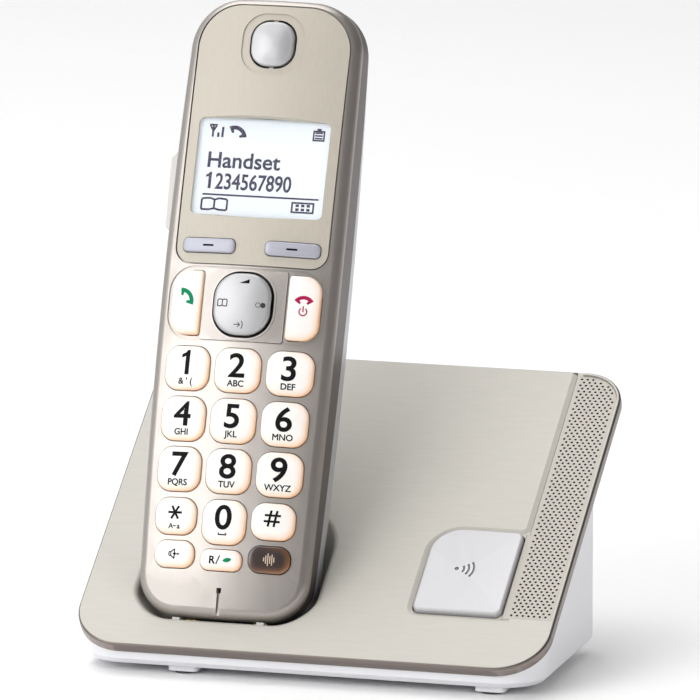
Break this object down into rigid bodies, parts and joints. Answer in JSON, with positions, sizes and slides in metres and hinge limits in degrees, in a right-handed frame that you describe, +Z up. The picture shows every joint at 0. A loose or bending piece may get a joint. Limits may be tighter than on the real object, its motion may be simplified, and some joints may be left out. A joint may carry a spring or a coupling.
{
  "type": "cordless telephone",
  "caption": "Cordless telephone handset with keypad and display, standing in a sloping charging base with a locator button and a perforated strip.",
  "frame": {"origin": "centre of the whole object's box, on the table under the foot pads", "axes": "+Z up, front towards -Y, +X to the right as seen from the front"},
  "size_m": [0.1322, 0.094, 0.174],
  "materials": {
    "champagne_cover": "satin metallic paint with a fine horizontal grain",
    "white_housing": "smooth satin white",
    "perforated_strip": "metallic paint over a fine dot pattern",
    "silver_button": "satin silver",
    "handset_face": "metallic champagne silver",
    "handset_back": "satin light silver",
    "trim_panel": "brushed champagne",
    "chrome_trim": "satin chrome",
    "clear_window": "clear, glossy",
    "display": "pale blue-white picture",
    "white_key": "warm white, softly lit edge",
    "brown_key": "dark bronze, glossy",
    "soft_key": "pale lavender silver",
    "black_plastic": "fine matt",
    "circuit_board": "solder mask",
    "silicone": "matt",
    "rubber_pad": "matt",
    "steel": "plated",
    "gold_contact": "plated",
    "cell_jacket": "printed film"
  },
  "bodies": {
    "base": {"base_top_cover": "champagne_cover", "base_housing": "white_housing", "perforated_strip": "perforated_strip", "line_socket": "black_plastic", "power_socket": "black_plastic", "foot_pads": "rubber_pad", "button_board": "circuit_board", "locator_switch": "black_plastic", "base_circuit_board": "circuit_board", "base_antenna": "steel", "base_screws": "steel"},
    "locator_button": {"locator_button": "silver_button"},
    "charge_contacts": {"charge_contacts": "gold_contact"},
    "handset": {"handset_front_cover": "handset_face", "handset_rear_cover": "handset_back", "display_panel": "trim_panel", "earpiece_cap": "chrome_trim", "display_window": "clear_window", "navigation_bezel": "handset_face", "lcd_module": "display", "navigation_bracket": "black_plastic", "keypad_mat": "silicone", "handset_circuit_board": "circuit_board", "receiver_speaker": "black_plastic", "hands_free_speaker": "black_plastic", "microphone": "steel", "handset_antenna": "steel", "handset_charge_contacts": "gold_contact", "battery_left": "cell_jacket", "battery_right": "cell_jacket", "battery_contacts": "steel", "handset_screws": "steel"},
    "battery_door": {"battery_door": "handset_back"},
    "side_key": {"side_key": "handset_back"},
    "navigation_gimbal": {"navigation_gimbal": "black_plastic"},
    "navigation_key": {"navigation_key": "chrome_trim"},
    "key_1": {"key_1": "white_key"},
    "key_2": {"key_2": "white_key"},
    "key_3": {"key_3": "white_key"},
    "key_4": {"key_4": "white_key"},
    "key_5": {"key_5": "white_key"},
    "key_6": {"key_6": "white_key"},
    "key_7": {"key_7": "white_key"},
    "key_8": {"key_8": "white_key"},
    "key_9": {"key_9": "white_key"},
    "key_star": {"key_star": "white_key"},
    "key_0": {"key_0": "white_key"},
    "key_hash": {"key_hash": "white_key"},
    "key_speaker": {"key_speaker": "white_key"},
    "key_recall": {"key_recall": "white_key"},
    "key_voice": {"key_voice": "brown_key"},
    "key_talk": {"key_talk": "white_key"},
    "key_off": {"key_off": "white_key"},
    "key_soft_left": {"key_soft_left": "soft_key"},
    "key_soft_right": {"key_soft_right": "soft_key"}
  },
  "joints": [
    {"name": "handset_lift", "type": "slide", "parent": "base", "child": "handset", "axis": [0, 0.3272, 0.9449], "range_m": [0, 0.12]},
    {"name": "battery_door_lift", "type": "slide", "parent": "handset", "child": "battery_door", "axis": [0, 0.9449, -0.3272], "range_m": [0, 0.006]},
    {"name": "locator_button_press", "type": "slide", "parent": "base", "child": "locator_button", "axis": [0, 0.5577, -0.83], "range_m": [0, 0.001], "stiffness_N_per_m": 1500, "springref_m": -0.0004},
    {"name": "charge_contacts_press", "type": "slide", "parent": "base", "child": "charge_contacts", "axis": [0, -0.3272, -0.9449], "range_m": [0, 0.0007], "stiffness_N_per_m": 800, "springref_m": -0.0005},
    {"name": "side_key_press", "type": "slide", "parent": "handset", "child": "side_key", "axis": [1, 0, 0], "range_m": [0, 0.0008], "stiffness_N_per_m": 2000, "springref_m": -0.0003},
    {"name": "navigation_tilt_up_down", "type": "hinge", "parent": "handset", "child": "navigation_gimbal", "pos_m": [-0.02644, -0.00768, 0.09452], "axis": [1, 0, 0], "range_deg": [-3, 3], "stiffness_Nm_per_rad": 0.3},
    {"name": "navigation_tilt_left_right", "type": "hinge", "parent": "navigation_gimbal", "child": "navigation_key", "pos_m": [-0.02644, -0.00768, 0.09452], "axis": [0, 0.3272, 0.9449], "range_deg": [-3, 3], "stiffness_Nm_per_rad": 0.3},
    {"name": "key_1_press", "type": "slide", "parent": "handset", "child": "key_1", "axis": [0, 0.9449, -0.3272], "range_m": [0, 0.0008], "stiffness_N_per_m": 2000, "springref_m": -0.0003},
    {"name": "key_2_press", "type": "slide", "parent": "handset", "child": "key_2", "axis": [0, 0.9449, -0.3272], "range_m": [0, 0.0008], "stiffness_N_per_m": 2000, "springref_m": -0.0003},
    {"name": "key_3_press", "type": "slide", "parent": "handset", "child": "key_3", "axis": [0, 0.9449, -0.3272], "range_m": [0, 0.0008], "stiffness_N_per_m": 2000, "springref_m": -0.0003},
    {"name": "key_4_press", "type": "slide", "parent": "handset", "child": "key_4", "axis": [0, 0.9449, -0.3272], "range_m": [0, 0.0008], "stiffness_N_per_m": 2000, "springref_m": -0.0003},
    {"name": "key_5_press", "type": "slide", "parent": "handset", "child": "key_5", "axis": [0, 0.9449, -0.3272], "range_m": [0, 0.0008], "stiffness_N_per_m": 2000, "springref_m": -0.0003},
    {"name": "key_6_press", "type": "slide", "parent": "handset", "child": "key_6", "axis": [0, 0.9449, -0.3272], "range_m": [0, 0.0008], "stiffness_N_per_m": 2000, "springref_m": -0.0003},
    {"name": "key_7_press", "type": "slide", "parent": "handset", "child": "key_7", "axis": [0, 0.9449, -0.3272], "range_m": [0, 0.0008], "stiffness_N_per_m": 2000, "springref_m": -0.0003},
    {"name": "key_8_press", "type": "slide", "parent": "handset", "child": "key_8", "axis": [0, 0.9449, -0.3272], "range_m": [0, 0.0008], "stiffness_N_per_m": 2000, "springref_m": -0.0003},
    {"name": "key_9_press", "type": "slide", "parent": "handset", "child": "key_9", "axis": [0, 0.9449, -0.3272], "range_m": [0, 0.0008], "stiffness_N_per_m": 2000, "springref_m": -0.0003},
    {"name": "key_star_press", "type": "slide", "parent": "handset", "child": "key_star", "axis": [0, 0.9449, -0.3272], "range_m": [0, 0.0008], "stiffness_N_per_m": 2000, "springref_m": -0.0003},
    {"name": "key_0_press", "type": "slide", "parent": "handset", "child": "key_0", "axis": [0, 0.9449, -0.3272], "range_m": [0, 0.0008], "stiffness_N_per_m": 2000, "springref_m": -0.0003},
    {"name": "key_hash_press", "type": "slide", "parent": "handset", "child": "key_hash", "axis": [0, 0.9449, -0.3272], "range_m": [0, 0.0008], "stiffness_N_per_m": 2000, "springref_m": -0.0003},
    {"name": "key_speaker_press", "type": "slide", "parent": "handset", "child": "key_speaker", "axis": [0, 0.9449, -0.3272], "range_m": [0, 0.0008], "stiffness_N_per_m": 2000, "springref_m": -0.0003},
    {"name": "key_recall_press", "type": "slide", "parent": "handset", "child": "key_recall", "axis": [0, 0.9449, -0.3272], "range_m": [0, 0.0008], "stiffness_N_per_m": 2000, "springref_m": -0.0003},
    {"name": "key_voice_press", "type": "slide", "parent": "handset", "child": "key_voice", "axis": [0, 0.9449, -0.3272], "range_m": [0, 0.0008], "stiffness_N_per_m": 2000, "springref_m": -0.0003},
    {"name": "key_talk_press", "type": "slide", "parent": "handset", "child": "key_talk", "axis": [0, 0.9449, -0.3272], "range_m": [0, 0.0008], "stiffness_N_per_m": 2000, "springref_m": -0.0003},
    {"name": "key_off_press", "type": "slide", "parent": "handset", "child": "key_off", "axis": [0, 0.9449, -0.3272], "range_m": [0, 0.0008], "stiffness_N_per_m": 2000, "springref_m": -0.0003},
    {"name": "key_soft_left_press", "type": "slide", "parent": "handset", "child": "key_soft_left", "axis": [0, 0.9449, -0.3272], "range_m": [0, 0.0008], "stiffness_N_per_m": 2000, "springref_m": -0.0003},
    {"name": "key_soft_right_press", "type": "slide", "parent": "handset", "child": "key_soft_right", "axis": [0, 0.9449, -0.3272], "range_m": [0, 0.0008], "stiffness_N_per_m": 2000, "springref_m": -0.0003}
  ]
}
